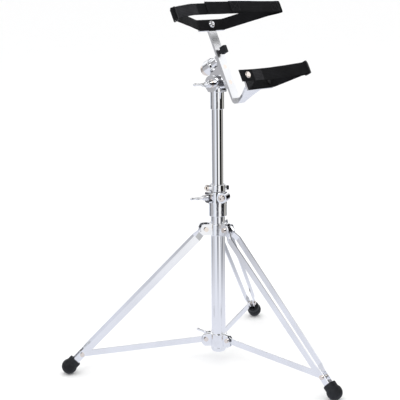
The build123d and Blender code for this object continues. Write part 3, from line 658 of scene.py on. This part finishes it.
def add_surround(tree, direction):
    """Nodes that give the tone of the surround in a direction."""
    turn = tree.nodes.new("ShaderNodeMapping")
    turn.vector_type = "POINT"
    turn.inputs["Rotation"].default_value = (0, 0, -CAMERA_BEARING)
    tree.links.new(direction, turn.inputs["Vector"])
    radial = tree.nodes.new("ShaderNodeTexGradient")
    radial.gradient_type = "RADIAL"
    tree.links.new(turn.outputs["Vector"], radial.inputs["Vector"])
    ramp = tree.nodes.new("ShaderNodeValToRGB")
    marks = ramp.color_ramp.elements
    while len(marks) > 1:
        marks.remove(marks[-1])
    marks[0].color = (*SURROUND[0][1], 1.0)
    for bearing, tone in SURROUND[1:]:
        marks.new(0.5 + bearing / 360).color = (*tone, 1.0)
    tree.links.new(radial.outputs["Fac"], ramp.inputs["Fac"])
    return ramp.outputs["Color"]


def add_fade(tree, height, low, high):
    """Nodes that rise smoothly from 0 to 1 between two heights."""
    part = tree.nodes.new("ShaderNodeMapRange")
    part.interpolation_type = "SMOOTHSTEP"
    part.inputs["From Min"].default_value = low
    part.inputs["From Max"].default_value = high
    tree.links.new(height, part.inputs["Value"])
    return part.outputs["Result"]


def add_mix(tree, fac, low, high):
    """Nodes that blend two colours, each a constant or another node's output."""
    made = tree.nodes.new("ShaderNodeMix")
    made.data_type = "RGBA"
    tree.links.new(fac, made.inputs["Factor"])
    for key, value in (("A", low), ("B", high)):
        if isinstance(value, tuple):
            made.inputs[key].default_value = (*value, 1.0)
        else:
            tree.links.new(value, made.inputs[key])
    return made.outputs["Result"]


def make_world():
    """Plain white light on matt surfaces; reflections see a banded surround, a sky and a dark roof."""
    scene = bpy.context.scene
    scene.view_settings.view_transform = "Standard"
    scene.view_settings.look = "None"
    world = bpy.data.worlds.new("studio")
    scene.world = world
    world.use_nodes = True
    tree = world.node_tree
    plain = tree.nodes["Background"]
    plain.inputs["Color"].default_value = (1.0, 1.0, 1.0, 1.0)
    plain.inputs["Strength"].default_value = PLAIN_STRENGTH
    coords = tree.nodes.new("ShaderNodeTexCoord")
    axes = tree.nodes.new("ShaderNodeSeparateXYZ")
    tree.links.new(coords.outputs["Generated"], axes.inputs["Vector"])
    walls = add_surround(tree, coords.outputs["Generated"])
    above_floor = add_fade(tree, axes.outputs["Z"], *FLOOR_FADE)
    tone = add_mix(tree, above_floor, PALE, walls)
    for fade, color in ((SKY_FADE, SKY), (ROOF_FADE, ROOF)):
        tone = add_mix(tree, add_fade(tree, axes.outputs["Z"], *fade), tone, color)
    toward = tree.nodes.new("ShaderNodeVectorMath")
    toward.operation = "DOT_PRODUCT"
    tree.links.new(coords.outputs["Generated"], toward.inputs[0])
    toward.inputs[1].default_value = CAMERA_PLACE.normalized()
    dark = add_fade(tree, toward.outputs["Value"], *BEHIND_FADE)
    tone = add_mix(tree, dark, tone, BEHIND_CAMERA)
    seen = tree.nodes.new("ShaderNodeBackground")
    tree.links.new(tone, seen.inputs["Color"])
    path = tree.nodes.new("ShaderNodeLightPath")
    pick = tree.nodes.new("ShaderNodeMixShader")
    tree.links.new(path.outputs["Is Glossy Ray"], pick.inputs["Fac"])
    tree.links.new(plain.outputs[0], pick.inputs[1])
    tree.links.new(seen.outputs[0], pick.inputs[2])
    tree.links.new(pick.outputs[0], tree.nodes["World Output"].inputs["Surface"])


FLOOR_HALF = 90.0
WALL_RADIUS = 1.4
WALL_BOTTOM = -1.0
WALL_TOP = 0.36
WALL_FADE = (-0.38, 0.12)
WALL_SIDES = 96


def make_floor():
    """Wide pale floor under the feet, left out of reflections."""
    bm = bmesh.new()
    bmesh.ops.create_grid(bm, x_segments=24, y_segments=24, size=FLOOR_HALF)
    made = keep("floor", bm, floor_material())
    made.visible_glossy = False


def make_wall():
    """Low wall round the object, seen only in reflections; its tones fade toward the floor."""
    material = bpy.data.materials.new("low_wall")
    material.use_nodes = True
    tree = material.node_tree
    tree.nodes.clear()
    out = tree.nodes.new("ShaderNodeOutputMaterial")
    glow = tree.nodes.new("ShaderNodeEmission")
    coords = tree.nodes.new("ShaderNodeTexCoord")
    axes = tree.nodes.new("ShaderNodeSeparateXYZ")
    tree.links.new(coords.outputs["Object"], axes.inputs["Vector"])
    walls = add_surround(tree, coords.outputs["Object"])
    risen = add_fade(tree, axes.outputs["Z"], *WALL_FADE)
    tree.links.new(add_mix(tree, risen, PALE, walls), glow.inputs["Color"])
    tree.links.new(glow.outputs[0], out.inputs["Surface"])
    bm = bmesh.new()
    lower = []
    upper = []
    for i in range(WALL_SIDES):
        a = 2 * pi * i / WALL_SIDES
        lower.append(bm.verts.new((WALL_RADIUS * cos(a), WALL_RADIUS * sin(a), WALL_BOTTOM)))
        upper.append(bm.verts.new((WALL_RADIUS * cos(a), WALL_RADIUS * sin(a), WALL_TOP)))
    bridge(bm, [lower, upper])
    made = keep("low_wall", bm, material)
    made.visible_camera = False
    made.visible_diffuse = False
    made.visible_shadow = False
    made.visible_transmission = False


def area_light(name, place, target, size, power):
    """Large soft rectangular lamp that faces a target."""
    data = bpy.data.lights.new(name, "AREA")
    data.shape = "RECTANGLE"
    data.size = size[0]
    data.size_y = size[1]
    data.energy = power
    made = bpy.data.objects.new(name, data)
    bpy.context.scene.collection.objects.link(made)
    made.location = place
    made.rotation_euler = (Vector(target) - Vector(place)).to_track_quat("-Z", "Y").to_euler()


make_world()
make_floor()
make_wall()
area_light("key", (1.2, -3.0, 3.4), (0, 0, 0.4), (2.0, 1.4), 22.0)
area_light("top", (0.0, 0.0, 4.0), (0, 0, 0.0), (3.0, 3.0), 20.0)

# --- materials on the CAD pieces ------------------------------------------------
MATERIALS = {
    "chrome_tube": chrome("chrome_tube", (0.95, 0.955, 0.97), 0.02, 0.05, 0.02, 9.0),
    "chrome_bar": chrome("chrome_bar", (0.94, 0.945, 0.96), 0.07, 0.13, 0.05, 14.0),
    "chrome_casting": chrome("chrome_casting", (0.93, 0.935, 0.95), 0.03, 0.08, 0.34, 70.0),
    "chrome_fastener": chrome("chrome_fastener", (0.88, 0.80, 0.73), 0.04, 0.10, 0.08, 90.0),
    "hard_steel": brushed("hard_steel", (0.40, 0.40, 0.42), 0.32),
    "black_rubber": moulded("black_rubber", (0.008, 0.008, 0.010), (0.018, 0.020, 0.024), 0.45, 700.0, 0.25),
    "black_nylon": moulded("black_nylon", (0.010, 0.010, 0.012), (0.025, 0.025, 0.03), 0.40, 500.0, 0.12),
    "black_metal": moulded("black_metal", (0.008, 0.008, 0.009), (0.022, 0.022, 0.024), 0.30, 420.0, 0.1,
                           shine=0.35),
    # The webbing's two colours: painted shade for the weave's grooves, painted highlight for its crests.
    "webbing": woven("webbing", (0.0014, 0.0014, 0.0018), (0.013, 0.0135, 0.016)),
}
# The grip tape's two colours: painted shade for the weave's grooves, painted highlight for its crests.
GRIP_TAPE = woven("grip_tape", (0.006, 0.006, 0.007), (0.045, 0.045, 0.05), rib=0.0011, strength=1.0,
                  rough=0.8)
THREAD_COLOR = moulded("stitch_thread", (0.012, 0.012, 0.014), (0.035, 0.036, 0.042), 0.5, 900.0, 0.2,
                       shine=0.3)
BRACKET_CHROME = chrome("bracket_chrome", (0.95, 0.955, 0.97), 0.24, 0.34, 0.04, 14.0)
SLOT_OF = {s["node"]: s["material_slot"] for s in RECORD["subparts"]}
for node, made in frame["nodes"].items():
    made.data.materials.clear()
    made.data.materials.append(MATERIALS[SLOT_OF[node]])
frame["nodes"]["cradle_bracket"].data.materials[0] = BRACKET_CHROME
frame["nodes"]["saddle_bolt"].data.materials[0] = MATERIALS["chrome_tube"]

# --- the looks' own pieces ------------------------------------------------------
WEBBING = MATERIALS["webbing"]
LOWER_DROP = 170.0
BACK_CORNER = 5.0
GRIP_CORNER = 6.0
GRIP_T = 0.7
webbing("upper_belt", [
    {"route": UPPER_BACK, "round_by": BACK_CORNER},
    {"route": UPPER_NEAR, "shift": (0.5, -2.0), "round_by": GRIP_CORNER},
    {"route": UPPER_OUTER, "width": 25.6, "shift": (0.7, -3.2), "wave": 0.12},
    {"route": UPPER_SLEEVE, "width": 27.8, "shift": (-1.2, -3.0), "thick": 1.8, "wave": 0.1},
], 0.0, WEBBING, "upper_strap")
webbing("upper_belt_grip", [
    {"route": UPPER_GRIP, "width": 24.6, "thick": GRIP_T, "lift": 1.0, "shift": (-1.6, -2.0),
     "round_by": GRIP_CORNER},
], 0.0, GRIP_TAPE, None)
webbing("lower_belt", [
    {"route": LOWER_BACK, "round_by": BACK_CORNER},
    {"route": LOWER_NEAR, "wave": 0.15},
    {"route": LOWER_TURN, "round_by": 4.0},
], LOWER_DROP, WEBBING, "lower_strap")
webbing("lower_belt_grip", [
    {"route": LOWER_GRIP, "width": 24.8, "thick": GRIP_T, "lift": 0.9},
], LOWER_DROP, GRIP_TAPE, None)


def make_stitching():
    """All the belts' stitches as one piece: boxes with a cross at the ends, plain rows elsewhere."""
    bm = bmesh.new()
    box = (-9.5, 9.5)
    sleeve = (-12.2, 12.2)
    grip = (-10.2, 10.2)
    back = (-10.6, 10.6)
    stitched(bm, UPPER_OUTER, 0.0, 126.0, 150.0, box, 0.95, -3.0)
    stitched(bm, UPPER_OUTER, 0.0, 4.0, 26.0, box, 0.95, 0.6)
    stitched(bm, UPPER_SLEEVE, 0.0, 3.0, 65.0, sleeve, 1.15, -2.1, False)
    stitched(bm, UPPER_GRIP, 0.0, 2.0, 44.0, grip, 1.4, -1.8, False, GRIP_CORNER)
    stitched(bm, LOWER_GRIP, LOWER_DROP, 2.5, 25.5, box, 1.3)
    stitched(bm, LOWER_BACK, LOWER_DROP, 60.0, 126.0, back, 0.65, 0.0, False, BACK_CORNER)
    stitched(bm, UPPER_BACK, 0.0, 144.0, 206.0, back, 0.65, 0.0, False, BACK_CORNER)
    made = keep("belt_stitching", bm, THREAD_COLOR, 60.0)
    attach(made, "cradle")


make_stitching()
wing_screw("hub_wing_screw_cast", "brace_hub_wing_screw", "hub_wing_turn", "hub_wing",
           turn=radians(33), start=-1.5, end=8.0, middle=3.0, radius=6.5, stem=11.0)
wing_screw("clamp_wing_screw_cast", "clamp_wing_screw", "clamp_wing_turn", "clamp_wing",
           turn=radians(10), start=-1.5, end=10.5, middle=6.5, radius=7.0, stem=11.0)
wing_screw("tilter_wing_nut_cast", "tilter_wing_nut", "tilt_wing_turn", "tilt_wing",
           turn=0.0, start=-9.3, end=5.2, middle=1.0, radius=8.2, stem=0.0)
buckle("upper_buckle", "upper_strap_ring", 0.0, 62.3, -157.0)
buckle("lower_buckle", "lower_strap_ring", LOWER_DROP, 139.95, 80.5)
ratchet("ratchet_lower_toothed", "ratchet_ring_lower", "upper")
ratchet("ratchet_upper_toothed", "ratchet_ring_upper", "cradle")
